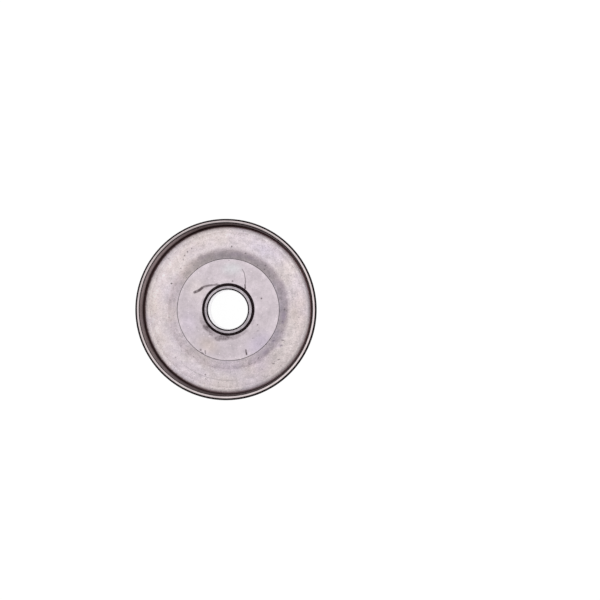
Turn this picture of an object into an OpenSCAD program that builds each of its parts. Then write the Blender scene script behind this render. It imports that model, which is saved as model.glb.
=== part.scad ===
// Clutch drum with a spur sprocket for a chain saw.
// A pressed steel cup, open upwards, is brazed to the hub of a toothed sprocket that stands below it.
// The axis is Z. The origin is on the axis, at the end face of the sprocket that the part stands on.

/* [Drum] */
// Outside diameter of the drum, where the brake band runs
drum_d = 67.5; // [66:0.1:72]
// Thickness of the drum's wall
wall_t = 1.65; // [1.4:0.05:2.4]
// Depth of the cup, from the rim to the flat of its floor
cup_depth = 15.3; // [12:0.1:20]
// Thickness of the pressed floor
floor_t = 2; // [1.8:0.05:2.4]
// Radius of the inside corner between floor and wall
inner_corner_r = 2.3; // [1:0.1:3.2]
// Radius of the outside corner between floor and wall
outer_corner_r = 4; // [2.5:0.1:5]
// Width of the bevel round the rim's outside edge
rim_outer_bevel = 0.6; // [0.2:0.05:0.7]
// Width of the bevel round the rim's inside edge
rim_inner_bevel = 0.3; // [0.1:0.05:0.6]

/* [Raised step] */
// Height of the faced flat above the floor round it
step_h = 1.45; // [1.1:0.05:1.8]
// Slope of the step's flank, in degrees
step_slope = 20; // [16:1:26]
// Radius of the curve that runs the flank out into the floor
step_run_r = 5.3; // [2:0.1:7]
// Thickness that facing leaves in the middle of the floor
faced_t = 1.8; // [1.5:0.05:1.85]
// Width of the ring of recess ceiling left free outside the collar
recess_gap = 2.7; // [1:0.1:3.5]

/* [Hub] */
// Diameter of the bore, which a needle cage runs in
bore_d = 15; // [13:0.1:15.4]
// Width of the bevel at each end of the bore
bore_bevel = 0.65; // [0.2:0.05:0.7]
// Outside diameter of the hub where it passes through the floor
hub_d = 18.5; // [17.6:0.1:19.2]
// Width of the bevel round the hub's end
hub_bevel = 0.15; // [0.05:0.05:0.3]
// Height of the hub's end above the faced flat
hub_proud = 0.2; // [0.1:0.05:0.6]
// Gap between the hub and its hole in the floor, which the braze fills
braze_gap = 0.05; // [0.02:0.01:0.12]
// Width of the groove left in the floor round the hub
groove_w = 0.7; // [0.4:0.05:1.1]
// Depth of that groove, down to the braze
groove_d = 0.9; // [0.3:0.05:1.2]
// Thickness of the collar that the drum is seated on
collar_t = 1.8; // [1.2:0.1:2.6]
// Width of the collar's lip outside the tooth tips
collar_lip = 0.9; // [0.4:0.1:1.4]
// Width of the bevel round the collar's lower edge
collar_bevel = 0.4; // [0.1:0.05:0.6]

/* [Chain teeth] */
// Number of teeth
teeth = 6; // [6:1:7]
// Rivet pitch of the chain
chain_pitch = 9.32; // [9.2:0.01:9.53]
// Depth that a drive link hangs below the middle of its pitch line
tang_depth = 7.5; // [7:0.1:7.8]
// Depth of the tooth tips below the chain's pitch circle
tip_drop = 2.9; // [2.4:0.1:3.6]
// Length of the teeth along the axis
tooth_l = 12.5; // [10:0.1:16]
// Radius of the round bottom of each gullet
gullet_r = 3.5; // [2.8:0.1:3.9]
// Lean of each gullet's flank away from its middle line, in degrees
flank_lean = 34; // [28:1:38]
// Height of the bevel that breaks the edges of each tooth tip
tip_bevel = 0.5; // [0.2:0.05:0.8]
// Width of the bevel round the lower ends of the teeth
end_bevel = 1; // [0.4:0.1:1.6]

/* [Hidden] */
$fn = 192;
// Overshoot of a cut past the face it goes through
past = 1;
// Depth that a straight starts inside the arc it runs on from
sink = 0.002;

// Radii
drum_r = drum_d / 2;
inner_r = drum_r - wall_t;
hub_r = hub_d / 2;
bore_r = bore_d / 2;

// A drive link spans two rivets in one gullet, so a tooth takes two pitches of the chain
pitch_half_angle = 90 / teeth;
pitch_r = chain_pitch / (2 * sin(pitch_half_angle));
tip_r = pitch_r - tip_drop;
gullet_floor_r = pitch_r * cos(pitch_half_angle) - tang_depth;
collar_r = tip_r + collar_lip;

// Heights, from the sprocket's end face up
seat_z = tooth_l + collar_t;
faced_z = seat_z + faced_t;
hub_z = faced_z + hub_proud;
floor_z = faced_z - step_h;
under_z = floor_z - floor_t;
rim_z = floor_z + cup_depth;

// The step is one sheet bent twice: its lower face runs parallel to its upper face, floor_t away.
// recess_r is where the lower flank meets the flat ceiling over the collar, and step_r is the edge
// where facing has cut through the upper flank.
recess_r = collar_r + recess_gap;
step_r = recess_r + floor_t * sin(step_slope)
       + (floor_t * cos(step_slope) - faced_t) / tan(step_slope);
// Radius at which the flank has run out into the floor
toe_r = step_r + step_run_r * sin(step_slope)
      + (step_h - step_run_r * (1 - cos(step_slope))) / tan(step_slope);

// Point at an angle on a circle round [x, y], measured from straight down towards the axis
function below(x, y, r, angle) = [x - r * sin(angle), y - r * cos(angle)];

// Section of a disc from the axis out to r, between two heights
module disc_section(r, low, high) {
    translate([0, low]) square([r, high - low]);
}

// Section of a disc whose lower edge is rounded
module round_edged_section(r, low, high, edge_r) {
    disc_section(r - edge_r, low, high);
    disc_section(r, low + edge_r, high);
    translate([r - edge_r, low + edge_r]) circle(edge_r);
}

// Section under the step's upper face: faced flat, straight flank, and a curve into the floor
module step_section() {
    difference() {
        polygon([
            [0, floor_z - past], [toe_r, floor_z - past], [toe_r, floor_z],
            below(toe_r, floor_z + step_run_r, step_run_r - sink, step_slope),
            [step_r, faced_z], [0, faced_z]
        ]);
        translate([toe_r, floor_z + step_run_r]) circle(step_run_r);
    }
}

// Section of the recess below the step, one floor thickness inside the flank
module recess_section() {
    run_r = step_run_r + floor_t;
    start = below(toe_r, floor_z + step_run_r, run_r - sink, step_slope);
    difference() {
        polygon([
            [0, under_z - past], [toe_r, under_z - past], [toe_r, under_z], start,
            [recess_r, seat_z], [0, seat_z]
        ]);
        translate([toe_r, floor_z + step_run_r]) circle(run_r);
    }
}

// Section of the space inside the cup, with bevels at the rim and round the hub hole
module cup_section() {
    difference() {
        round_edged_section(inner_r, floor_z, rim_z + past, inner_corner_r);
        step_section();
    }
    polygon([
        [0, rim_z - rim_inner_bevel], [inner_r, rim_z - rim_inner_bevel],
        [inner_r + rim_inner_bevel + past, rim_z + past], [0, rim_z + past]
    ]);
}

// Section of the hole for the hub, widened into a groove at the faced flat
module hub_hole_section() {
    disc_section(hub_r + braze_gap, under_z - past, faced_z + past);
    disc_section(hub_r + groove_w, faced_z - groove_d, faced_z + past);
}

module clutch_drum() {
    color([0.80, 0.77, 0.78])
    rotate_extrude()
    difference() {
        intersection() {
            round_edged_section(drum_r, under_z, rim_z, outer_corner_r);
            polygon([
                [0, under_z], [drum_r, under_z], [drum_r, rim_z - rim_outer_bevel],
                [drum_r - rim_outer_bevel, rim_z], [0, rim_z]
            ]);
        }
        cup_section();
        recess_section();
        hub_hole_section();
    }
}

// Outline of one gullet along +X: a round bottom, flanks tangent to it, and bevelled mouth edges
module gullet_outline() {
    middle = gullet_floor_r + gullet_r;
    leave_r = gullet_r - sink;
    leave = [middle - leave_r * sin(flank_lean), leave_r * cos(flank_lean)];
    mouth_x = tip_r * cos(pitch_half_angle) - tip_bevel;
    mouth_y = leave[1] + (mouth_x - leave[0]) * tan(flank_lean);
    flare = tip_r - mouth_x + past;
    translate([middle, 0]) circle(gullet_r);
    polygon([
        [leave[0], -leave[1]], [mouth_x, -mouth_y], [mouth_x + flare, -mouth_y - flare * tan(60)],
        [mouth_x + flare, mouth_y + flare * tan(60)], [mouth_x, mouth_y], leave
    ]);
}

// Outline of the toothed star
module star_outline() {
    difference() {
        circle(tip_r);
        for (i = [0 : teeth - 1]) rotate(i * 360 / teeth) gullet_outline();
    }
}

// Turned envelope of the teeth, bevelled at the lower end
module tooth_envelope() {
    rotate_extrude()
    polygon([
        [0, 0], [tip_r - end_bevel, 0], [tip_r, end_bevel], [tip_r, tooth_l], [0, tooth_l]
    ]);
}

module sprocket() {
    color([0.66, 0.63, 0.64])
    difference() {
        union() {
            intersection() {
                linear_extrude(tooth_l) star_outline();
                tooth_envelope();
            }
            rotate_extrude()
            polygon([
                [0, tooth_l], [collar_r - collar_bevel, tooth_l], [collar_r, tooth_l + collar_bevel],
                [collar_r, seat_z], [hub_r, seat_z], [hub_r, hub_z - hub_bevel],
                [hub_r - hub_bevel, hub_z], [0, hub_z]
            ]);
        }
        rotate_extrude()
        polygon([
            [0, -past], [bore_r + bore_bevel + past, -past], [bore_r, bore_bevel],
            [bore_r, hub_z - bore_bevel], [bore_r + bore_bevel + past, hub_z + past], [0, hub_z + past]
        ]);
    }
}

clutch_drum();
sprocket();
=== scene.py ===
# Looks of a chain saw clutch drum with its spur sprocket, seen from above into the open drum
import math

import bpy
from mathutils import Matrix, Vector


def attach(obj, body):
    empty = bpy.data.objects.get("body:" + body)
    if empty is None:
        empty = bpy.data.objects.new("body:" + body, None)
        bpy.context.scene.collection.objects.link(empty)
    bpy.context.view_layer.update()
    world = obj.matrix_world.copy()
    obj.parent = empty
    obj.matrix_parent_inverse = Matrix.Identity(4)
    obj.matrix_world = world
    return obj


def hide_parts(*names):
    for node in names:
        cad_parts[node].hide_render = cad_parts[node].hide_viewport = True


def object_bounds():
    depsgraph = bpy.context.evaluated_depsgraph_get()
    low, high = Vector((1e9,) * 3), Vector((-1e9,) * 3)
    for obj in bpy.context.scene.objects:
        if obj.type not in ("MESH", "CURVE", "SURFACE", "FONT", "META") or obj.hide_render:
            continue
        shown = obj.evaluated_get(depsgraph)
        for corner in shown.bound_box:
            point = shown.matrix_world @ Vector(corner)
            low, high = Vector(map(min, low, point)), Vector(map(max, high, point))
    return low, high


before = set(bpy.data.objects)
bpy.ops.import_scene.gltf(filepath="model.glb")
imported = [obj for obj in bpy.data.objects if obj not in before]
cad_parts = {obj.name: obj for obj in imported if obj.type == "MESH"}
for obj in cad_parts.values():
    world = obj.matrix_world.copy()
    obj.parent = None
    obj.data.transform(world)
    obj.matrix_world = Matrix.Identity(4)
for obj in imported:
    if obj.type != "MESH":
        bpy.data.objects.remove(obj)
cadLow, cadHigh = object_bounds()
mm = 0.001


# Drawing and turning

making = {"arcStep": 6, "joinWithin": 0.0005, "normalWeight": 60}  # degrees, mm, over 50 for large faces


def clearSelection():
    bpy.ops.object.select_all(action="DESELECT")


def pick(piece):
    clearSelection()
    piece.select_set(True)
    bpy.context.view_layer.objects.active = piece


def roundCorners(corners):  # corners of a closed outline, each (x, y, radius), all in mm
    points = []
    for i, (x, y, radius) in enumerate(corners):
        if radius == 0:
            points.append((x, y))
            continue
        before, after = corners[i - 1], corners[(i + 1) % len(corners)]
        inX, inY = before[0] - x, before[1] - y
        outX, outY = after[0] - x, after[1] - y
        inLength, outLength = math.hypot(inX, inY), math.hypot(outX, outY)
        inX, inY, outX, outY = inX / inLength, inY / inLength, outX / outLength, outY / outLength
        halfInside = math.acos(max(-1, min(1, inX * outX + inY * outY))) / 2
        reach = radius / math.tan(halfInside)
        middleX, middleY = inX + outX, inY + outY
        away = radius / math.sin(halfInside) / math.hypot(middleX, middleY)
        centreX, centreY = x + middleX * away, y + middleY * away
        startX, startY = x + inX * reach - centreX, y + inY * reach - centreY
        endX, endY = x + outX * reach - centreX, y + outY * reach - centreY
        start = math.atan2(startY, startX)
        sweep = math.atan2(startX * endY - startY * endX, startX * endX + startY * endY)
        steps = max(2, math.ceil(abs(math.degrees(sweep)) / making["arcStep"]))
        for k in range(steps + 1):
            angle = start + sweep * k / steps
            points.append((centreX + radius * math.cos(angle), centreY + radius * math.sin(angle)))
    return points


def drawLine(name, points):  # one vertex pulled along points in metres, object left at the origin
    clearSelection()
    bpy.ops.mesh.primitive_plane_add(size=mm, location=points[0])
    piece = bpy.context.object
    piece.name = piece.data.name = name
    bpy.ops.object.mode_set(mode="EDIT")
    bpy.ops.mesh.select_all(action="SELECT")
    bpy.ops.mesh.merge(type="CENTER")
    for here, there in zip(points, points[1:]):
        step = [b - a for a, b in zip(here, there)]
        bpy.ops.mesh.extrude_vertices_move(TRANSFORM_OT_translate={"value": step})
    bpy.ops.object.mode_set(mode="OBJECT")
    bpy.ops.object.transform_apply(location=True, rotation=True, scale=True)
    return piece


def joinDoubles():  # in edit mode, and leaves all selected
    bpy.ops.mesh.select_all(action="SELECT")
    bpy.ops.mesh.remove_doubles(threshold=making["joinWithin"] * mm)
    bpy.ops.mesh.select_all(action="SELECT")


def closeMesh():  # in edit mode
    joinDoubles()
    bpy.ops.mesh.normals_make_consistent(inside=False)


def turnPiece(name, corners, steps):  # turns a closed section of (radius, height, edge radius)
    section = roundCorners(corners)
    piece = drawLine(name, [(r * mm, 0, z * mm) for r, z in section + section[:1]])
    bpy.ops.object.mode_set(mode="EDIT")
    joinDoubles()
    bpy.ops.mesh.spin(steps=steps, angle=math.tau, center=(0, 0, 0), axis=(0, 0, 1))
    closeMesh()
    bpy.ops.object.mode_set(mode="OBJECT")
    return piece


def applyModifier(piece, kind, **settings):
    pick(piece)
    modifier = piece.modifiers.new(kind, kind)
    for key, value in settings.items():
        setattr(modifier, key, value)
    bpy.ops.object.modifier_apply(modifier=modifier.name)


def smoothPiece(piece, angle):
    pick(piece)
    bpy.ops.object.shade_smooth_by_angle(angle=math.radians(angle))
    applyModifier(piece, "WEIGHTED_NORMAL", keep_sharp=True, weight=making["normalWeight"])


def shiftRing(piece, inner, outer, above, shift):  # moves the points of one turned edge off centre, in mm
    pick(piece)
    bpy.ops.object.mode_set(mode="EDIT")
    bpy.ops.mesh.select_all(action="DESELECT")
    bpy.ops.object.mode_set(mode="OBJECT")
    for point in piece.data.vertices:
        radius = math.hypot(point.co.x, point.co.y) / mm
        point.select = inner < radius < outer and point.co.z > above * mm
    bpy.ops.object.mode_set(mode="EDIT")
    bpy.ops.transform.translate(value=[part * mm for part in shift])
    bpy.ops.object.mode_set(mode="OBJECT")


# Shader helpers: lengths in mm, because every pattern starts from place()

wanderNoise = (0.28, 4, 0.6, 44)  # scale, detail, roughness and offset of what moves a ring's edges
speckCore = 0.4  # the share of a speck's radius that is at full strength
pickSoft = 0.1  # how softly a cell is picked to have a speck
bumpDepth = 0.02


def newMetal(name):
    material = bpy.data.materials.new(name)
    material.use_nodes = True
    tree = material.node_tree
    shader = tree.nodes["Principled BSDF"]
    shader.inputs["Metallic"].default_value = 1
    return material, tree, shader


def put(tree, socket, value):
    if isinstance(value, bpy.types.NodeSocket):
        tree.links.new(value, socket)
    elif socket.type == "RGBA" and len(value) == 3:
        socket.default_value = (*value, 1)
    else:
        socket.default_value = value


def dress(tree, shader, colour, roughness):
    put(tree, shader.inputs["Base Color"], colour)
    put(tree, shader.inputs["Roughness"], roughness)


def addNode(tree, kind, inputs=None, **settings):
    made = tree.nodes.new(kind)
    for key, value in settings.items():
        setattr(made, key, value)
    for key, value in (inputs or {}).items():
        put(tree, made.inputs[key], value)
    return made


def maths(tree, operation, *values):
    return addNode(tree, "ShaderNodeMath", dict(enumerate(values)), operation=operation).outputs[0]


def vectorMaths(tree, operation, *values):
    made = addNode(tree, "ShaderNodeVectorMath", dict(enumerate(values)), operation=operation)
    if operation in ("LENGTH", "DOT_PRODUCT"):
        return made.outputs["Value"]
    return made.outputs["Vector"]


def place(tree, stretch=(1, 1, 1)):  # where a point is, in mm
    here = addNode(tree, "ShaderNodeTexCoord").outputs["Object"]
    size = [s / mm for s in stretch]
    return addNode(tree, "ShaderNodeMapping", {"Vector": here, "Scale": size}).outputs[0]


def flatPlace(tree):  # the same, with its height left out
    return place(tree, (1, 1, 0))


def fromAxis(tree, aside=0.0):  # aside moves the middle along x
    return vectorMaths(tree, "LENGTH", vectorMaths(tree, "ADD", flatPlace(tree), (-aside, 0, 0)))


def heightAbove(tree, base):
    z = addNode(tree, "ShaderNodeSeparateXYZ", {0: place(tree)}).outputs["Z"]
    return maths(tree, "SUBTRACT", z, base)


def noise(tree, where, scale, detail, rough, offset):  # offset picks another part of the pattern
    shifted = vectorMaths(tree, "ADD", where, (offset, offset * 0.7, offset * 1.3))
    inputs = {"Vector": shifted, "Scale": scale, "Detail": detail, "Roughness": rough}
    return addNode(tree, "ShaderNodeTexNoise", inputs).outputs["Fac"]


def remap(tree, value, low, high, start=0.0, end=1.0, kind="LINEAR"):  # low..high becomes start..end
    inputs = {"Value": value, "From Min": low, "From Max": high, "To Min": start, "To Max": end}
    return addNode(tree, "ShaderNodeMapRange", inputs, interpolation_type=kind).outputs["Result"]


def mottle(tree, where, scale, detail, rough, offset, low, high, start=0.0, end=1.0):
    return remap(tree, noise(tree, where, scale, detail, rough, offset), low, high, start, end)


def blend(tree, share, a, b, mode="MIX"):  # 6, 7 and 2 are the colour sockets of a Mix node
    made = addNode(tree, "ShaderNodeMix", data_type="RGBA", blend_type=mode)
    put(tree, made.inputs[0], share)
    put(tree, made.inputs[6], a)
    put(tree, made.inputs[7], b)
    return made.outputs[2]


def shade(tree, colour, factor):  # makes a colour lighter or darker by a factor
    grey = addNode(tree, "ShaderNodeCombineXYZ", {0: factor, 1: factor, 2: factor}).outputs[0]
    return vectorMaths(tree, "MULTIPLY", colour, grey)


def shadeWhere(tree, colour, mask, factor, elsewhere=1):  # by factor where mask is 1
    return shade(tree, colour, remap(tree, mask, 0, 1, elsewhere, factor))


def strongest(tree, masks):
    whole = masks[0]
    for mask in masks[1:]:
        whole = maths(tree, "MAXIMUM", whole, mask)
    return whole


def times(tree, *masks):
    whole = masks[0]
    for mask in masks[1:]:
        whole = maths(tree, "MULTIPLY", whole, mask)
    return whole


def ringMask(tree, inner, outer, soft, wobble=0.0, aside=0.0):  # wobble lets the ring's edges wander
    radius = fromAxis(tree, aside)
    if wobble:
        wander = maths(tree, "SUBTRACT", noise(tree, place(tree), *wanderNoise), 0.5)
        radius = maths(tree, "MULTIPLY_ADD", wander, wobble, radius)
    rise = remap(tree, radius, inner - soft, inner + soft, kind="SMOOTHSTEP")
    fall = remap(tree, radius, outer - soft, outer + soft, 1, 0, kind="SMOOTHSTEP")
    return times(tree, rise, fall)


def sideMask(tree, angle, low, high):  # 1 on the side that angle points to, low and high are cosines
    way = vectorMaths(tree, "NORMALIZE", flatPlace(tree))
    aim = (math.cos(math.radians(angle)), math.sin(math.radians(angle)), 0)
    return remap(tree, vectorMaths(tree, "DOT_PRODUCT", way, aim), low, high, kind="SMOOTHSTEP")


def spot(tree, x, y, wide, high, turn, soft=1.0):  # soft-edged ellipse, 1 in its middle
    inputs = {"Vector": flatPlace(tree), "Location": (x, y, 0), "Rotation": (0, 0, math.radians(turn)),
              "Scale": (wide, high, 1)}
    local = addNode(tree, "ShaderNodeMapping", inputs, vector_type="TEXTURE").outputs[0]
    away = vectorMaths(tree, "LENGTH", local)
    return remap(tree, away, 1 - soft, 1, 1, 0, kind="SMOOTHERSTEP")


def stroke(tree, where, points, width, soft):  # a line drawn through points
    parts = []
    for (ax, ay), (bx, by) in zip(points, points[1:]):
        half = math.hypot(bx - ax, by - ay) / 2
        inputs = {"Vector": where, "Location": ((ax + bx) / 2, (ay + by) / 2, 0),
                  "Rotation": (0, 0, math.atan2(by - ay, bx - ax))}
        local = addNode(tree, "ShaderNodeMapping", inputs, vector_type="TEXTURE").outputs[0]
        split = addNode(tree, "ShaderNodeSeparateXYZ", {0: local})
        past = maths(tree, "SUBTRACT", maths(tree, "ABSOLUTE", split.outputs["X"]), half)
        past = maths(tree, "MAXIMUM", past, 0.0)
        gap = addNode(tree, "ShaderNodeCombineXYZ", {0: past, 1: split.outputs["Y"]}).outputs[0]
        away = vectorMaths(tree, "LENGTH", gap)
        parts.append(remap(tree, away, width / 2, width / 2 + soft, 1, 0, kind="SMOOTHSTEP"))
    return strongest(tree, parts)


def specks(tree, where, scale, size, share, offset):  # scattered small dots, only in some of the cells
    shifted = vectorMaths(tree, "ADD", where, (offset, offset, 0))
    inputs = {"Vector": shifted, "Scale": scale}
    cell = addNode(tree, "ShaderNodeTexVoronoi", inputs, voronoi_dimensions="2D")
    dot = remap(tree, cell.outputs["Distance"], size * speckCore, size, 1, 0, kind="SMOOTHSTEP")
    lot = addNode(tree, "ShaderNodeSeparateColor", {0: cell.outputs["Color"]}).outputs[0]
    picked = remap(tree, lot, 1 - share, 1 - share + pickSoft)
    return times(tree, dot, picked)


def addBump(tree, shader, height, strength):
    inputs = {"Height": height, "Strength": strength, "Distance": bumpDepth * mm}
    put(tree, shader.inputs["Normal"], addNode(tree, "ShaderNodeBump", inputs).outputs[0])


# Finishes: lengths in mm, heights from the floor's upper side, angles in degrees from +X.
# A mottling is a noise's scale, detail, roughness and offset, its low and high, and what they become.
# A side is an angle with two cosines, a ring has its radii and its soft edge, and specks have their
# scale, size, share of the cells and offset.

dirt = (0.085, 0.062, 0.070)
fleck = (0.90, 0.82, 0.83)

corner = {  # painted shade: the dark foot of the inner wall, where the corner mirrors the dark wall opposite
    "foot": (0.075, 0.052, 0.052), "front": (0.235, 0.19, 0.195), "ring": (28, 33, 0.1),
    "start": 0.75, "soft": 0.45, "ragged": (1.6, 4, 0.75, 5), "raggedHeight": 0.55,
    "lateSide": (-130, 0.2, 0.9), "lateBy": 0.07,  # it starts higher there
    "paleSide": (-20, -0.6, 0.9), "paleFactor": 2.3, "frontSide": (-72, 0.6, 0.95),
}

pressed = {
    "beige": (0.775, 0.692, 0.692), "lavender": (0.748, 0.671, 0.722),
    "clouds": (0.075, 2, 0.5, 11, 0.40, 0.60),
    "drift": (0.35, 6, 0.75, 3, 0.25, 0.75, 0.78, 1.22), "fine": (1.9, 5, 0.8, 23, 0.25, 0.75, 0.70, 1.30),
    # painted light: the pressed steel is lighter towards 125 degrees and darker on the far side
    "litSide": (125, -1.0, 1.0), "brighter": 1.05, "dimmer": 0.95,
    "paleSpecks": [(0.55, 0.20, 0.30, 40), (0.8, 0.22, 0.18, 91)], "paleInside": 0.75, "paleUnder": 0.2,
    "darkSpecks": [(0.42, 0.11, 0.22, 75), (0.8, 0.16, 0.12, 12)], "darkStrength": 0.45, "dotSoft": 0.7,
    "upperFrom": -0.25, "upperFull": -0.10, "underFactor": 0.70,
    "stepRing": (19.6, 23.5, 0.8), "stepMottle": (0.42, 5, 0.7, 66, 0.3, 0.7, 0.84, 1.14),
    "ringWobble": 1.2, "bruise": (0.43, 0.355, 0.455),
    "violet": (1.0, 0.995, 1.05), "violetRing": (19.0, 23.2, 1.4), "violetSide": (-15, -0.6, 0.6),
    "lineInside": 0.09, "lineOutside": 0.13, "lineSoft": 0.05, "lineFactor": 0.32,  # painted shade: a dark line round the faced flat
    "scratchRing": (26.98, 27.16, 0.12), "scratchSide": (-106, 0.89, 0.95), "scratchFactor": 0.6,
    "gloss": (0.5, 4, 0.5, 9, 0.3, 0.7, 0.44, 0.54), "grain": (2.2, 4, 0.65, 0), "bump": 0.35,
}

floorMarks = {
    "dots": [  # x, y, half width, half height, turn, strength, on the floor round the step
        (-21.7, 10.0, 0.50, 0.42, 0, 0.93), (1.4, 24.2, 0.46, 0.50, 0, 0.86),
        (-16.7, 20.7, 0.45, 0.42, 0, 0.72), (-15.5, 22.2, 0.34, 0.46, 0, 0.74),
        (-14.0, 23.4, 0.40, 0.40, 0, 0.6), (-17.1, 19.2, 0.32, 0.46, 20, 0.5),
        (17.4, -20.6, 0.80, 0.32, 6, 0.62), (19.4, -19.1, 0.75, 0.28, 22, 0.75),
        (21.6, 0.0, 0.50, 0.50, 0, 0.48), (20.4, -13.7, 0.75, 0.36, 0, 0.6),
        (20.9, -11.7, 0.95, 0.30, -8, 0.75), (17.4, -11.9, 0.75, 0.32, 15, 0.6),
        (14.3, 16.9, 0.60, 0.50, 0, 0.46), (11.3, 16.9, 0.50, 0.50, 0, 0.43),
        (15.9, 12.7, 0.50, 0.40, 0, 0.36), (13.9, 15.4, 0.42, 0.42, 0, 0.5),
        (20.8, -4.6, 0.60, 0.50, 0, 0.48), (6.7, 21.5, 0.50, 0.42, 0, 0.47),
        (-8.7, -24.9, 0.50, 0.42, 0, 0.7), (-20.1, -18.3, 0.50, 0.42, 0, 0.42),
        (9.4, 22.8, 0.30, 0.24, 0, 0.4), (24.0, 13.0, 0.30, 0.30, 0, 0.35),
        (-27.3, 1.6, 0.30, 0.22, 0, 0.4), (11.7, -18.5, 0.30, 0.55, 0, 0.45),
        (-18.1, 15.8, 0.30, 0.50, 0, 0.55),
    ],
    "glints": [  # pale specks, placed the same way
        (10.6, 25.3, 0.75, 0.50, 0, 0.8), (-17.1, -19.5, 0.60, 0.50, 20, 0.8),
        (-25.7, 2.8, 0.55, 0.40, 0, 0.8), (21.2, -9.5, 0.50, 0.40, 0, 0.6),
        (7.4, 22.3, 0.55, 0.45, 0, 0.6), (23.0, -19.4, 0.40, 0.60, 0, 0.7),
        (23.9, -15.2, 0.35, 0.70, 25, 0.6), (-14.4, 24.9, 0.50, 0.60, 0, 0.7),
        (-11.7, -24.5, 0.50, 0.40, 0, 0.6),
    ],
    "rings": [  # painted light and shade by radius and side: inner and outer radius, soft edge, side (-3 and -2 are all round), factor
        (19.0, 23.6, 1.2, 0, -3, -2, 1.08), (19.0, 23.2, 1.6, 46, -0.75, 0.75, 0.66),
        (19.0, 22.8, 1.2, 82, 0.5, 1.0, 0.88), (24.0, 26.6, 1.2, 0, -3, -2, 0.92),
        (22.0, 23.4, 0.6, 135, -0.2, 0.8, 1.03), (23.4, 24.8, 0.5, 210, -0.2, 0.8, 0.92),
        (19.0, 22.6, 1.2, -80, 0.2, 1.0, 0.90), (21.3, 23.1, 0.8, 0, -3, -2, 1.14),
        (22.2, 23.0, 0.6, 60, -0.3, 0.9, 1.04), (19.0, 22.0, 1.2, -30, 0.7, 1.0, 1.04),
        (21.3, 23.1, 0.8, -65, 0.3, 1.0, 0.93), (24.6, 33.0, 1.2, 200, -1, 1, 1.06),
        (24.6, 33.0, 1.2, 20, -1, 1, 0.97), (24.6, 33.0, 1.2, -60, 0.5, 1.0, 0.96),
        (26.0, 28.6, 0.8, -5, 0.4, 1.0, 1.07), (27.9, 29.9, 0.6, 0, -3, -2, 1.10),
        (30.2, 32.4, 0.5, 0, -3, -2, 0.84), (30.4, 32.0, 0.6, -10, -0.2, 0.8, 0.90),
        (30.3, 32.0, 0.6, 55, 0.0, 0.9, 0.94), (28.3, 30.2, 0.5, 90, 0.7, 1.0, 1.05),
        (19.0, 22.8, 1.0, 132, 0.5, 1.0, 0.92), (19.0, 22.8, 1.0, 180, 0.3, 0.9, 0.93),
        (29.8, 31.6, 0.5, 180, -0.2, 0.9, 0.95), (29.8, 31.6, 0.5, 230, 0.5, 1.0, 1.12),
    ],
    "bruises": [  # dull violet spots on the step's flank and foot, the same six values as the dots
        (21.3, -2.6, 1.7, 3.0, 0, 0.55), (20.9, -5.0, 0.9, 0.7, 0, 0.6), (14.5, -16.0, 3.2, 1.7, 42, 0.50),
        (17.4, -12.0, 1.6, 0.8, 30, 0.5), (20.4, 9.8, 1.8, 3.2, 25, 0.30), (-9.0, 20.3, 4.5, 1.3, 24, 0.25),
        (3.0, 21.2, 4.0, 1.4, 0, 0.30), (8.6, 19.9, 2.6, 1.2, -25, 0.30), (19.8, -13.8, 2.0, 1.3, 20, 0.35),
    ],
    "patches": [  # x, y, half width, half height, turn, factor, on the floor round the step
        (15.5, -19.6, 6.5, 4.5, 35, 0.86), (3.5, -23.4, 8.0, 2.8, 5, 0.92),
        (10.2, 28.9, 4.5, 1.5, -20, 0.85), (-22.0, -19.0, 9.0, 6.0, -45, 1.06),
        (-16.0, 20.0, 5.0, 4.0, 45, 0.93), (-25.0, 8.0, 4.5, 8.0, 0, 1.04),
    ],
    "tints": [  # x, y, half width, half height, turn, tint, on the floor and the step's flank
        (12.4, 21.4, 12.0, 8.0, -30, (0.985, 0.995, 1.05)), (27.0, 0.5, 6.0, 13.0, 0, (1.015, 0.99, 0.965)),
        (-13.5, 23.0, 11.0, 7.5, 30, (1.01, 1.0, 0.965)), (-27.0, 1.0, 6.0, 10.0, 0, (1.01, 1.0, 0.975)),
        (12.0, -21.5, 9.0, 6.0, 30, (1.015, 0.985, 1.01)),
    ],
}


def floorTop():  # the drum's sizes stand beside makeDrum
    return drum["underHeight"] + drum["floorThickness"]


def speckle(tree, where, layers):
    return strongest(tree, [specks(tree, where, *layer) for layer in layers])


def upperSide(tree):  # 1 on the floor's upper side, 0 on its underside
    return remap(tree, heightAbove(tree, floorTop()), pressed["upperFrom"], pressed["upperFull"])


def pressedColour(tree):
    here = place(tree)
    upper = upperSide(tree)
    colour = blend(tree, mottle(tree, here, *pressed["clouds"]), pressed["beige"], pressed["lavender"])
    colour = shade(tree, colour, mottle(tree, here, *pressed["drift"]))
    colour = shade(tree, colour, mottle(tree, here, *pressed["fine"]))
    # painted light: lighter on one side, darker on the other
    brighter = sideMask(tree, *pressed["litSide"])
    colour = shadeWhere(tree, colour, brighter, pressed["brighter"], pressed["dimmer"])
    pale = remap(tree, upper, 0, 1, pressed["paleUnder"], pressed["paleInside"])
    colour = blend(tree, times(tree, speckle(tree, here, pressed["paleSpecks"]), pale), colour, fleck)
    dark = times(tree, speckle(tree, here, pressed["darkSpecks"]), pressed["darkStrength"])
    colour = blend(tree, dark, colour, dirt)
    for marks, tone in (("dots", dirt), ("glints", fleck)):
        for x, y, wide, high, turn, strength in floorMarks[marks]:
            mask = times(tree, spot(tree, x, y, wide, high, turn, pressed["dotSoft"]), upper, strength)
            colour = blend(tree, mask, colour, tone)
    return colour


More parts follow.
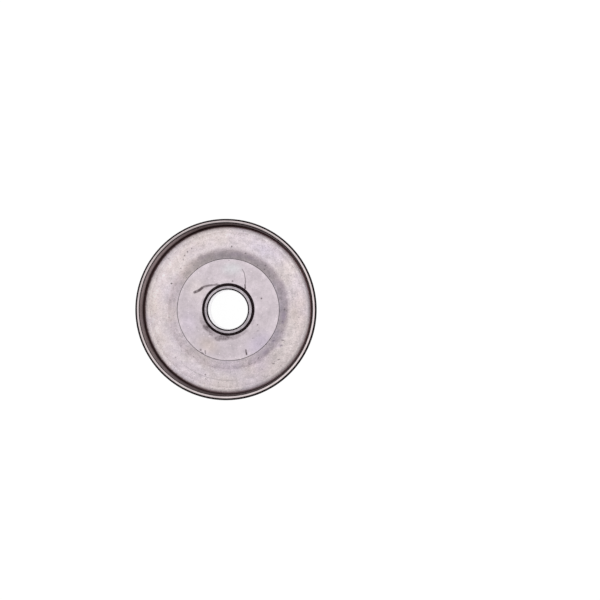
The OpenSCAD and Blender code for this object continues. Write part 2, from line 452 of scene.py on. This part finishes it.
def cornerShadeMask(tree):  # painted shade: where the corner turns dark on its way up to the inner wall
    rise = times(tree, noise(tree, place(tree), *corner["ragged"]), corner["raggedHeight"])
    late = times(tree, sideMask(tree, *corner["lateSide"]), corner["lateBy"])
    height = heightAbove(tree, floorTop() + corner["start"])
    height = maths(tree, "ADD", height, maths(tree, "SUBTRACT", rise, late))
    foot = remap(tree, height, 0.0, corner["soft"], kind="SMOOTHSTEP")
    return times(tree, foot, ringMask(tree, *corner["ring"]))


def cornerShadeTone(tree):  # tone of the painted shade, paler to the right and palest at the front
    tone = shadeWhere(tree, corner["foot"], sideMask(tree, *corner["paleSide"]), corner["paleFactor"])
    return blend(tree, sideMask(tree, *corner["frontSide"]), tone, corner["front"])


def pressedSteel():
    p = pressed
    material, tree, shader = newMetal("pressedSteel")
    here = place(tree)
    upper = upperSide(tree)
    colour = pressedColour(tree)
    # painted light and shade in rings round the step and the corner
    for inner, outer, soft, side, low, high, factor in floorMarks["rings"]:
        ring = ringMask(tree, inner, outer, soft, p["ringWobble"])
        ring = times(tree, ring, sideMask(tree, side, low, high), upper)
        colour = shadeWhere(tree, colour, ring, factor)
    step = ringMask(tree, *p["stepRing"], p["ringWobble"])
    colour = shadeWhere(tree, colour, step, mottle(tree, here, *p["stepMottle"]))
    for x, y, wide, high, turn, strength in floorMarks["bruises"]:
        mask = times(tree, spot(tree, x, y, wide, high, turn), upper, strength)
        colour = blend(tree, mask, colour, p["bruise"])
    for x, y, wide, high, turn, factor in floorMarks["patches"]:
        mask = times(tree, spot(tree, x, y, wide, high, turn), upper)
        colour = shadeWhere(tree, colour, mask, factor)
    for x, y, wide, high, turn, tint in floorMarks["tints"]:
        mask = times(tree, spot(tree, x, y, wide, high, turn), upper)
        colour = blend(tree, mask, colour, tint, "MULTIPLY")
    violet = ringMask(tree, *p["violetRing"], p["ringWobble"])
    violet = times(tree, violet, sideMask(tree, *p["violetSide"]), upper)
    colour = blend(tree, violet, colour, p["violet"], "MULTIPLY")
    # painted shade along the faced flat's edge
    flatEdge = drum["facedRadius"]
    line = ringMask(tree, flatEdge - p["lineInside"], flatEdge + p["lineOutside"], p["lineSoft"],
                    aside=drum["facedShift"][0])
    colour = shadeWhere(tree, colour, times(tree, line, upper), p["lineFactor"])
    scratch = times(tree, ringMask(tree, *p["scratchRing"]), sideMask(tree, *p["scratchSide"]), upper)
    colour = shadeWhere(tree, colour, scratch, p["scratchFactor"])
    # painted shade in the corner at the wall's foot
    colour = blend(tree, cornerShadeMask(tree), colour, cornerShadeTone(tree))
    colour = shadeWhere(tree, colour, upper, 1, p["underFactor"])
    dress(tree, shader, colour, mottle(tree, here, *p["gloss"]))
    addBump(tree, shader, noise(tree, here, *p["grain"]), p["bump"])
    return material


innerWall = {
    "brown": (0.50, 0.45, 0.447), "roughness": 0.30, "brownFrom": 3.15, "brownFull": 8.15,
    "turned": (0.04, 0.04, 2.5), "lines": (1.0, 4, 0.7, 27, 0.3, 0.7, 0.8, 1.2),
    "shineSide": (180, 0.1, 0.9), "shine": (0.37, 0.34, 0.34), "shineElsewhere": (0.068, 0.049, 0.049),
    "gleamSide": (146, 0.80, 1.0), "gleamRise": (4.85, 8.35), "gleamFall": (10.85, 13.85), "gleam": 1.6,
}


def innerWallSteel():
    w = innerWall
    material, tree, shader = newMetal("innerWallSteel")
    tint = blend(tree, sideMask(tree, *w["shineSide"]), w["shineElsewhere"], w["shine"])
    put(tree, shader.inputs["Specular Tint"], tint)
    height = heightAbove(tree, floorTop())
    brown = shade(tree, w["brown"], mottle(tree, place(tree, w["turned"]), *w["lines"]))
    gleam = times(tree, remap(tree, height, *w["gleamRise"]), remap(tree, height, *w["gleamFall"], 1, 0))
    gleam = times(tree, gleam, sideMask(tree, *w["gleamSide"]))
    brown = shadeWhere(tree, brown, gleam, w["gleam"])
    # painted shade: the wall takes the corner's dark tone near its foot
    brown = blend(tree, remap(tree, height, w["brownFrom"], w["brownFull"]), cornerShadeTone(tree), brown)
    colour = blend(tree, cornerShadeMask(tree), pressedColour(tree), brown)
    dress(tree, shader, colour, w["roughness"])
    return material


faced = {
    "tone": (0.530, 0.467, 0.502), "gloss": (0.4, 3, 0.5, 2, 0.3, 0.7, 0.27, 0.34),
    "drift": (0.22, 6, 0.78, 31, 0.25, 0.75, 0.79, 1.21), "fine": (1.5, 5, 0.8, 17, 0.25, 0.75, 0.85, 1.15),
    "burnishedRings": [(18.2, 19.4, 0.4), (10.3, 11.6, 0.5)], "burnished": 1.07,
    # painted light: the faced flat is lighter towards 55 degrees and darker on the far side
    "litSide": (55, -1.0, 1.0), "brighter": 1.04, "dimmer": 0.96,
    "flecks": (0.5, 0.12, 0.25, 33), "fleckStrength": 0.5,
    "dust": (0.9, 0.13, 0.10, 5), "dustStrength": 0.4,
    "caught": (1.7, 5, 0.8, 51, 0.38, 0.60, 0.42, 0.95), "smudgeSoft": 0.7,
    "crescentRing": (9.5, 11.3, 0.6, 1.0), "crescentSide": (-108, 0.35, 0.80), "crescentStrength": 0.6,
    "broken": (1.1, 4, 0.7, 61, 0.38, 0.52, 0.65, 1.0),
}

facedMarks = {
    "stains": [  # x, y, half width, half height, turn, strength, tone
        (1.5, 15.6, 6.5, 4.0, 0, 0.6, (0.54, 0.55, 0.565)),
        (-7.5, -13.5, 7.0, 5.0, -30, 0.7, (0.58, 0.49, 0.465)),
        (12.0, -13.0, 9.0, 6.5, 40, 0.8, (0.475, 0.415, 0.505)),
        (-15.0, -5.0, 5.5, 8.0, 0, 0.6, (0.55, 0.48, 0.56)),
        (-12.0, 8.0, 6.0, 7.0, 35, 0.6, (0.62, 0.55, 0.55)),
    ],
    "smudges": [  # x, y, half width, half height, turn, strength: dirt caught round the groove
        (-8.1, -6.9, 3.0, 1.7, -44, 1.0), (-6.2, -9.3, 1.6, 1.0, -35, 0.7),
        (-1.7, -10.6, 5.0, 1.8, 2, 0.92), (-4.0, -11.2, 1.9, 1.2, -25, 0.7),
        (2.4, -10.6, 3.0, 1.2, 14, 0.65), (6.3, -8.7, 2.8, 0.8, 36, 0.45),
        (-10.1, -4.2, 0.9, 2.8, 15, 0.45), (-9.6, 3.5, 0.6, 2.2, -20, 0.30),
        (9.6, -4.9, 0.7, 2.0, -25, 0.30), (-7.0, -8.1, 2.8, 1.0, -42, 0.85),
    ],
    "lines": [  # points, width, soft edge, strength: the scuff at the left, then the hairline, then nicks
        ([(-12.7, 6.65), (-11.9, 6.95), (-11.1, 7.3), (-10.4, 7.85), (-9.8, 8.35)], 0.62, 0.40, 0.95),
        ([(-9.8, 8.35), (-9.1, 8.75), (-8.2, 9.02), (-6.2, 9.35)], 0.40, 0.38, 0.78),
        ([(-6.2, 9.35), (-4.6, 9.46), (-3.4, 9.50)], 0.26, 0.36, 0.68),
        ([(5.5, 15.4), (6.25, 14.0), (6.6, 12.0)], 0.08, 0.25, 0.65),
        ([(6.6, 12.0), (6.75, 10.75), (6.55, 9.5)], 0.10, 0.25, 0.75),
        ([(6.55, 9.5), (6.6, 8.05)], 0.26, 0.28, 1.0),
        ([(6.85, -15.4), (7.15, -17.1)], 0.32, 0.28, 0.95),
        ([(-8.7, -15.7), (-8.5, -16.9)], 0.18, 0.25, 0.65),
    ],
    "crumbs": [  # small dark spots, the same six values as the smudges
        (12.8, 4.3, 0.55, 0.55, 0, 1.0), (1.76, 10.9, 0.52, 0.50, 0, 1.0),
        (11.3, -5.75, 0.42, 0.40, 0, 0.9), (-10.4, -15.4, 0.75, 0.7, 30, 0.75),
        (-9.8, -16.7, 1.3, 0.7, -35, 0.9), (0.4, 18.9, 0.45, 0.3, 0, 0.7),
        (-12.45, 6.8, 0.9, 0.7, 15, 1.0), (-4.2, 9.7, 1.2, 0.7, -20, 0.6),
        (-6.9, -9.4, 0.6, 0.5, 40, 0.6), (-3.4, -11.7, 0.45, 0.40, 0, 0.6),
        (9.5, -10.9, 0.55, 0.35, 20, 0.55), (11.4, -8.1, 0.85, 0.26, 30, 0.5),
        (-11.9, -6.7, 0.38, 0.36, 0, 0.45), (-7.9, -7.3, 1.0, 0.55, -40, 0.6),
        (-6.4, -8.2, 0.7, 0.45, -40, 0.6), (1.2, -10.9, 0.9, 0.42, 0, 0.5),
        (-2.6, -10.5, 1.0, 0.45, 0, 0.5), (-9.2, -8.6, 0.5, 0.35, -30, 0.4),
    ],
}


def addMarks(tree, colour):  # smudges, scuffs, crumbs and dust on the faced flat
    here = flatPlace(tree)
    caught = mottle(tree, here, *faced["caught"])
    masks = []
    for x, y, wide, high, turn, strength in facedMarks["smudges"]:
        masks.append(times(tree, spot(tree, x, y, wide, high, turn, faced["smudgeSoft"]), caught, strength))
    crescent = times(tree, ringMask(tree, *faced["crescentRing"]), sideMask(tree, *faced["crescentSide"]))
    masks.append(times(tree, crescent, caught, faced["crescentStrength"]))
    broken = mottle(tree, here, *faced["broken"])
    for points, width, soft, strength in facedMarks["lines"]:
        masks.append(times(tree, stroke(tree, here, points, width, soft), broken, strength))
    for x, y, wide, high, turn, strength in facedMarks["crumbs"]:
        masks.append(times(tree, spot(tree, x, y, wide, high, turn), strength))
    masks.append(times(tree, specks(tree, here, *faced["dust"]), faced["dustStrength"]))
    dark = maths(tree, "MINIMUM", strongest(tree, masks), 1.0)
    return blend(tree, dark, colour, dirt)


def facedSteel():
    material, tree, shader = newMetal("facedSteel")
    here = place(tree)
    colour = faced["tone"]
    for x, y, wide, high, turn, strength, tone in facedMarks["stains"]:
        mask = times(tree, spot(tree, x, y, wide, high, turn), strength)
        colour = blend(tree, mask, colour, tone)
    burnished = strongest(tree, [ringMask(tree, *ring) for ring in faced["burnishedRings"]])
    colour = shadeWhere(tree, colour, burnished, faced["burnished"])
    # painted light by side
    brighter = sideMask(tree, *faced["litSide"])
    colour = shadeWhere(tree, colour, brighter, faced["brighter"], faced["dimmer"])
    colour = shade(tree, colour, mottle(tree, here, *faced["drift"]))
    colour = shade(tree, colour, mottle(tree, here, *faced["fine"]))
    flecks = times(tree, specks(tree, here, *faced["flecks"]), faced["fleckStrength"])
    colour = addMarks(tree, blend(tree, flecks, colour, fleck))
    dress(tree, shader, colour, mottle(tree, here, *faced["gloss"]))
    return material


# painted shade: bevels and edges near black, for the dark surroundings they would mirror; lighter in places
# at random
edge = {
    "tone": (0.018, 0.012, 0.013), "wearAndShade": (0.10, 0.085, 0.085), "roughness": 0.45,
    "wear": (0.8, 4, 0.6, 8, 0.55, 0.75, 0, 0.35),
}


def shadedEdge():
    material, tree, shader = newMetal("shadedEdge")
    wearAndShade = mottle(tree, place(tree), *edge["wear"])
    dress(tree, shader, blend(tree, wearAndShade, edge["tone"], edge["wearAndShade"]), edge["roughness"])
    return material


# painted light and shade: the rim is lighter to the right and darker over the inner part of its flat
# towards the top
rim = {
    "tone": (0.66, 0.58, 0.585), "roughness": 0.30, "drift": (0.25, 4, 0.6, 14, 0.3, 0.7, 0.88, 1.08),
    "litSide": (0, -0.2, 0.9), "elsewhere": 0.86,
    "shadedRing": (32.2, 32.75, 0.12), "shadedSide": (90, 0.3, 0.9), "shadedFactor": 0.62,
}


def rimSteel():
    material, tree, shader = newMetal("rimSteel")
    colour = shade(tree, rim["tone"], mottle(tree, place(tree), *rim["drift"]))
    # painted light and shade by side on the rim
    colour = shadeWhere(tree, colour, sideMask(tree, *rim["litSide"]), 1, rim["elsewhere"])
    wearAndShade = times(tree, ringMask(tree, *rim["shadedRing"]), sideMask(tree, *rim["shadedSide"]))
    dress(tree, shader, shadeWhere(tree, colour, wearAndShade, rim["shadedFactor"]), rim["roughness"])
    return material


outerWall = {
    "tone": (0.50, 0.455, 0.455), "roughness": 0.34, "turned": (0.03, 0.03, 4), "lines": (1.0, 5, 0.7, 6),
    "lineShades": (0.3, 0.7, 0.85, 1.15), "bump": 0.25,
}


def wallSteel():
    material, tree, shader = newMetal("wallSteel")
    lines = noise(tree, place(tree, outerWall["turned"]), *outerWall["lines"])
    colour = shade(tree, outerWall["tone"], remap(tree, lines, *outerWall["lineShades"]))
    dress(tree, shader, colour, outerWall["roughness"])
    addBump(tree, shader, lines, outerWall["bump"])
    return material


blank = {  # the teeth and the collar
    "tone": (0.42, 0.385, 0.385), "roughness": 0.34, "drift": (0.5, 5, 0.7, 4, 0.25, 0.75, 0.8, 1.2),
    "grain": (2.5, 4, 0.65, 0), "bump": 0.3,
}


def sprocketSteel():
    material, tree, shader = newMetal("sprocketSteel")
    here = place(tree)
    colour = shade(tree, blank["tone"], mottle(tree, here, *blank["drift"]))
    dress(tree, shader, colour, blank["roughness"])
    addBump(tree, shader, noise(tree, here, *blank["grain"]), blank["bump"])
    return material


ground = {  # the hub's end, darker towards -75 degrees
    "tone": (0.390, 0.350, 0.378), "roughness": 0.24, "wheel": (1.2, 5.0, 1),
    "hatch": (0.9, 4, 0.7, 19, 0.3, 0.7, 0.73, 1.27), "patches": (0.4, 3, 0.6, 15, 0.3, 0.7, 0.78, 1.22),
    "dimmerSide": (-75, 0.2, 0.9), "dimmer": 0.92,
}


def groundSteel():
    material, tree, shader = newMetal("groundSteel")
    colour = shade(tree, ground["tone"], mottle(tree, place(tree, ground["wheel"]), *ground["hatch"]))
    colour = shadeWhere(tree, colour, sideMask(tree, *ground["dimmerSide"]), ground["dimmer"])
    colour = shade(tree, colour, mottle(tree, place(tree), *ground["patches"]))
    dress(tree, shader, colour, ground["roughness"])
    return material


bore = {  # heights from the sprocket's end face; painted shade makes it dimmer deeper down the bore
    "tone": (0.87, 0.83, 0.88), "roughness": 0.14,
    "turned": (0.1, 0.1, 6), "rings": (1.0, 3, 0.6, 7, 0.3, 0.7, 0.9, 1.05),
    "dimmerTo": 3.0, "brighterFrom": 12.0, "dimmer": 0.76, "brighter": 0.98,
}


def boreSteel():
    material, tree, shader = newMetal("boreSteel")
    rings = mottle(tree, place(tree, bore["turned"]), *bore["rings"])
    height = heightAbove(tree, 0)
    # painted shade deeper in the bore
    dimmer = remap(tree, height, bore["dimmerTo"], bore["brighterFrom"], bore["dimmer"], bore["brighter"])
    dress(tree, shader, shade(tree, bore["tone"], times(tree, rings, dimmer)), bore["roughness"])
    return material


# painted shade: the groove and the hub's side in it are near black, for the deep narrow groove's shade over
# the dark braze
braze = {
    "black": (0.013, 0.006, 0.009), "brown": (0.050, 0.032, 0.037), "roughness": 0.6,
    "lumps": (1.5, 3, 0.6, 12),
}


def shadedBraze():
    material, tree, shader = newMetal("shadedBraze")
    lumps = noise(tree, place(tree), *braze["lumps"])
    dress(tree, shader, blend(tree, lumps, braze["black"], braze["brown"]), braze["roughness"])
    return material


hair = 0.02  # slack in mm for telling neighbouring faces apart
level = 0.9  # a face is level if its normal points up by more than this
steep = 0.7  # and a wall's face if its normal points out or in by more than this


def finish(piece, names, choose):  # choose(radius, height, outward, up) names the finish of a face
    for name in names:
        piece.data.materials.append(finishes[name])
    for face in piece.data.polygons:
        radius = math.hypot(face.center.x, face.center.y)
        outward = (face.normal.x * face.center.x + face.normal.y * face.center.y) / radius
        chosen = choose(radius / mm, face.center.z / mm, outward, face.normal.z)
        face.material_index = names.index(chosen)


# Clutch drum: sizes in mm, radii and heights from the sprocket's end face

drum = {
    "outerRadius": 33.75, "rimHeight": 29.95, "underHeight": 12.65,
    "wallThickness": 1.65, "floorThickness": 2.0, "innerCorner": 2.3, "outerCorner": 4.0,
    "rimOuterBevel": 0.75, "rimInnerBevel": 0.28, "edge": 0.05,
    "stepHeight": 1.45, "stepSlope": math.radians(20), "stepRun": 5.3, "facedRadius": 19.49,
    "facedThickness": 1.8, "recessRadius": 18.70, "recessCorner": 0.4, "burrWidth": 0.10, "burrDrop": 0.08,
    "hubHole": 9.3, "grooveRadius": 9.98, "grooveDepth": 0.9, "grooveCorner": 0.15, "grooveEdge": 0.14,
    "brazeCreep": 0.01, "turnSteps": 288, "smoothAngle": 12,
    "grooveShift": (0.15, 0.07, 0), "facedShift": (0.13, 0, 0), "rimShift": (0, 0.06, 0),
}


def makeDrum():
    d = drum
    floor = floorTop()
    facedTop = floor + d["stepHeight"]
    ceiling = facedTop - d["facedThickness"]
    grooveFloor = facedTop - d["grooveDepth"]
    inner = d["outerRadius"] - d["wallThickness"]
    perHeight = 1 / math.tan(d["stepSlope"])
    flankFoot = d["facedRadius"] + d["stepHeight"] * perHeight
    recessFoot = d["recessRadius"] + (ceiling - d["underHeight"]) * perHeight
    cut = d["facedRadius"] - d["burrWidth"]
    corners = [
        (d["hubHole"], ceiling, 0), (d["hubHole"], grooveFloor, 0),
        (d["grooveRadius"], grooveFloor, d["grooveCorner"]), (d["grooveRadius"], facedTop, d["grooveEdge"]),
        (cut, facedTop, d["edge"] / 3), (d["facedRadius"], facedTop - d["burrDrop"], 0),
        (flankFoot, floor, d["stepRun"]), (inner, floor, d["innerCorner"]),
        (inner, d["rimHeight"] - d["rimInnerBevel"], d["edge"]),
        (inner + d["rimInnerBevel"], d["rimHeight"], d["edge"]),
        (d["outerRadius"] - d["rimOuterBevel"], d["rimHeight"], d["edge"]),
        (d["outerRadius"], d["rimHeight"] - d["rimOuterBevel"], d["edge"]),
        (d["outerRadius"], d["underHeight"], d["outerCorner"]),
        (recessFoot, d["underHeight"], d["stepRun"] + d["floorThickness"]),
        (d["recessRadius"], ceiling, d["recessCorner"]),
    ]
    piece = turnPiece("drumShell", corners, d["turnSteps"])

    def choose(radius, height, outward, up):
        if radius < d["grooveRadius"] + d["brazeCreep"] and height < facedTop - hair:
            return "braze"
        if radius < cut and height > facedTop - hair:
            return "faced"
        if radius < d["facedRadius"] and height > floor:
            return "edge"
        if height > d["rimHeight"] - d["rimOuterBevel"] + hair and radius > inner:
            if up > level:
                return "rim"
            return "edge"
        if outward > steep:
            return "wall"
        if outward < -steep:
            return "innerWall"
        return "pressed"

    finish(piece, ["pressed", "faced", "edge", "rim", "wall", "innerWall", "braze"], choose)
    shiftRing(piece, (d["hubHole"] + d["grooveRadius"]) / 2, d["grooveRadius"] + 2 * d["grooveEdge"],
              (ceiling + grooveFloor) / 2, d["grooveShift"])
    shiftRing(piece, cut - d["burrWidth"] / 2, d["facedRadius"] + d["edge"],
              facedTop - 2 * d["burrDrop"], d["facedShift"])
    shiftRing(piece, inner, d["outerRadius"] - d["rimOuterBevel"] / 2,
              d["rimHeight"] - d["edge"], d["rimShift"])
    smoothPiece(piece, d["smoothAngle"])
    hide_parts("clutch_drum")
    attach(piece, "root")
    return piece


# Sprocket: a turned blank with six gullets cut into it, sizes in mm

sprocket = {
    "boreRadius": 7.5, "leadRadius": 7.64, "leadDepth": 0.95, "boreBevel": 0.50, "footBevel": 0.65,
    "tipRadius": 15.1, "endBevel": 1.0, "toothLength": 12.5,
    "collarRadius": 16.0, "collarBevel": 0.4, "collarThickness": 1.8,
    "hubRadius": 9.25, "hubHeight": 16.3, "hubBevel": 0.27, "hubShift": (0.08, 0, 0),
    "teeth": 6, "gulletFloor": 9.89, "gulletRound": 3.5, "roundSteps": 24, "flankLean": math.radians(34),
    "tipBevel": 0.5, "tipLean": math.radians(60), "cutPast": 1, "cutBelow": 2, "cutGap": 0.01,
    "edge": 0.12, "edgeSegments": 2, "edgeAngle": math.radians(50), "turnSteps": 192, "smoothAngle": 24,
}


def makeSprocket():
    s = sprocket
    seat = s["toothLength"] + s["collarThickness"]
    top = s["hubHeight"]
    mouth = s["leadRadius"] + s["boreBevel"]
    corners = [
        (s["boreRadius"], s["footBevel"], 0), (s["boreRadius"] + s["footBevel"], 0, 0),
        (s["tipRadius"] - s["endBevel"], 0, 0), (s["tipRadius"], s["endBevel"], 0),
        (s["tipRadius"], s["toothLength"], 0), (s["collarRadius"] - s["collarBevel"], s["toothLength"], 0),
        (s["collarRadius"], s["toothLength"] + s["collarBevel"], 0), (s["collarRadius"], seat, 0),
        (s["hubRadius"], seat, 0), (s["hubRadius"], top - s["hubBevel"], 0),
        (s["hubRadius"] - s["hubBevel"], top, 0), (mouth, top, 0),
        (s["leadRadius"], top - s["boreBevel"], 0), (s["boreRadius"], top - s["leadDepth"], 0),
    ]
    piece = turnPiece("sprocketBody", corners, s["turnSteps"])
    cutter = makeGulletCutter()
    applyModifier(piece, "BOOLEAN", object=cutter, operation="DIFFERENCE", solver="EXACT")
    bpy.data.objects.remove(cutter)
    applyModifier(piece, "BEVEL", width=s["edge"] * mm, segments=s["edgeSegments"], limit_method="ANGLE",
                  angle_limit=s["edgeAngle"])

    def choose(radius, height, outward, up):
        if height > top - s["boreBevel"] + hair and radius < mouth - hair and up < level:
            return "edge"
        if height > seat and radius > s["hubRadius"] - s["hubBevel"] + hair:
            return "braze"
        if radius < s["leadRadius"]:
            return "bore"
        if height > seat:
            return "ground"
        return "sprocket"

    finish(piece, ["sprocket", "ground", "bore", "edge", "braze"], choose)
    shiftRing(piece, s["hubRadius"] - 1.5 * s["hubBevel"], s["collarRadius"],
              top - 1.5 * s["hubBevel"], s["hubShift"])
    smoothPiece(piece, s["smoothAngle"])
    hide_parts("sprocket")
    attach(piece, "root")
    return piece


def makeGulletCutter():
    s = sprocket
    middle = s["gulletFloor"] + s["gulletRound"]
    leaveX = middle - s["gulletRound"] * math.sin(s["flankLean"])
    leaveY = s["gulletRound"] * math.cos(s["flankLean"])
    mouthX = s["tipRadius"] * math.cos(math.pi / 2 / s["teeth"]) - s["tipBevel"]
    mouthY = leaveY + (mouthX - leaveX) * math.tan(s["flankLean"])
    outX = s["tipRadius"] + s["cutPast"]
    outY = mouthY + (outX - mouthX) * math.tan(s["tipLean"])
    roundEnd = math.pi / 2 + s["flankLean"]
    bottom = []
    for k in range(s["roundSteps"] + 1):
        angle = roundEnd + (math.tau - 2 * roundEnd) * k / s["roundSteps"]
        bottom.append((middle + s["gulletRound"] * math.cos(angle), s["gulletRound"] * math.sin(angle)))
    outline = [(outX, outY), (mouthX, mouthY)] + bottom + [(mouthX, -mouthY), (outX, -outY)]
    cutter = drawLine("gulletCutter", [(x * mm, y * mm, -s["cutBelow"] * mm) for x, y in outline])
    bpy.ops.object.mode_set(mode="EDIT")
    bpy.ops.mesh.select_all(action="SELECT")
    bpy.ops.mesh.edge_face_add()
    height = (s["toothLength"] - s["cutGap"] + s["cutBelow"]) * mm
    bpy.ops.mesh.extrude_region_move(TRANSFORM_OT_translate={"value": (0, 0, height)})
    bpy.ops.mesh.select_all(action="SELECT")
    copies = s["teeth"] - 1
    bpy.ops.mesh.spin(steps=copies, dupli=True, angle=math.tau * copies / s["teeth"],
                      center=(0, 0, 0), axis=(0, 0, 1))
    closeMesh()
    bpy.ops.object.mode_set(mode="OBJECT")
    return cutter


# Studio: white table, wide soft light overhead, camera straight above

studio = {
    "cameraX": 27.53, "cameraY": -1.2, "shiftY": 0.0213, "aboveRim": 490, "viewWidth": 222.8, "sensor": 36,
    "tableRadius": 3000, "tableSides": 64, "tableDrop": 0.02, "tableTone": 0.08, "tableGlow": 0.96,
    "tableRoughness": 0.9, "domeStrength": 0.85, "backdrop": 0.97,
    "domeTones": [(0.0, 0.25), (0.2, 0.5), (0.5, 0.9), (0.77, 1.3), (0.93, 1.2), (1.0, 0.9)],
    "lampSize": 1.9, "lampPlace": (-0.45, -0.30, 1.3), "lampPower": 3.1,  # metres and watts
}


def makeTable():
    clearSelection()
    bpy.ops.mesh.primitive_circle_add(vertices=studio["tableSides"], radius=studio["tableRadius"] * mm,
                                      fill_type="NGON", location=(0, 0, -studio["tableDrop"] * mm))
    table = bpy.context.object
    table.name = "table"
    material = bpy.data.materials.new("whiteTable")
    material.use_nodes = True
    shader = material.node_tree.nodes["Principled BSDF"]
    tone = studio["tableTone"]
    shader.inputs["Base Color"].default_value = (tone, tone, tone, 1)
    shader.inputs["Roughness"].default_value = studio["tableRoughness"]
    shader.inputs["Specular IOR Level"].default_value = 0
    shader.inputs["Emission Color"].default_value = (1, 1, 1, 1)
    shader.inputs["Emission Strength"].default_value = studio["tableGlow"]
    table.data.materials.append(material)


def makeDome():
    world = bpy.data.worlds.new("softDome")
    bpy.context.scene.world = world
    world.use_nodes = True
    tree = world.node_tree
    tree.nodes.clear()
    direction = addNode(tree, "ShaderNodeTexCoord").outputs["Generated"]
    height = addNode(tree, "ShaderNodeSeparateXYZ", {0: direction}).outputs["Z"]
    ramp = addNode(tree, "ShaderNodeValToRGB", {"Fac": height})
    elements = ramp.color_ramp.elements
    while len(elements) < len(studio["domeTones"]):
        elements.new(0.5)
    for element, (up, tone) in zip(elements, studio["domeTones"]):
        element.position = up
        element.color = (tone, tone, tone, 1)
    seen = addNode(tree, "ShaderNodeLightPath").outputs["Is Camera Ray"]
    inputs = {"Color": ramp.outputs["Color"], "Strength": studio["domeStrength"]}
    dome = addNode(tree, "ShaderNodeBackground", inputs)
    plain = addNode(tree, "ShaderNodeBackground", {"Color": (1, 1, 1), "Strength": studio["backdrop"]})
    mix = addNode(tree, "ShaderNodeMixShader", {0: seen, 1: dome.outputs[0], 2: plain.outputs[0]})
    addNode(tree, "ShaderNodeOutputWorld", {"Surface": mix.outputs[0]})


def makeLamp():
    data = bpy.data.lights.new("softLamp", "AREA")
    data.shape = "DISK"
    data.size = studio["lampSize"]
    data.energy = studio["lampPower"]
    lamp = bpy.data.objects.new("softLamp", data)
    bpy.context.scene.collection.objects.link(lamp)
    lamp.location = studio["lampPlace"]


def makeCamera():
    data = bpy.data.cameras.new("camera")
    data.sensor_width = studio["sensor"]
    data.lens = studio["sensor"] * studio["aboveRim"] / studio["viewWidth"]
    data.shift_y = studio["shiftY"]
    camera = bpy.data.objects.new("camera", data)
    bpy.context.scene.collection.objects.link(camera)
    camera.location = (studio["cameraX"] * mm, studio["cameraY"] * mm, cadHigh.z + studio["aboveRim"] * mm)
    bpy.context.scene.camera = camera


# Everything in its order

finishes = {
    "pressed": pressedSteel(), "innerWall": innerWallSteel(), "faced": facedSteel(), "edge": shadedEdge(),
    "rim": rimSteel(), "wall": wallSteel(), "sprocket": sprocketSteel(), "ground": groundSteel(),
    "bore": boreSteel(), "braze": shadedBraze(),
}
print("finishes ready")
drumShell = makeDrum()
print("drum ready", len(drumShell.data.polygons), "faces")
sprocketBody = makeSprocket()
print("sprocket ready", len(sprocketBody.data.polygons), "faces")
makeTable()
makeDome()
makeLamp()
makeCamera()
bpy.context.scene.view_settings.view_transform = "Standard"
print("studio ready")
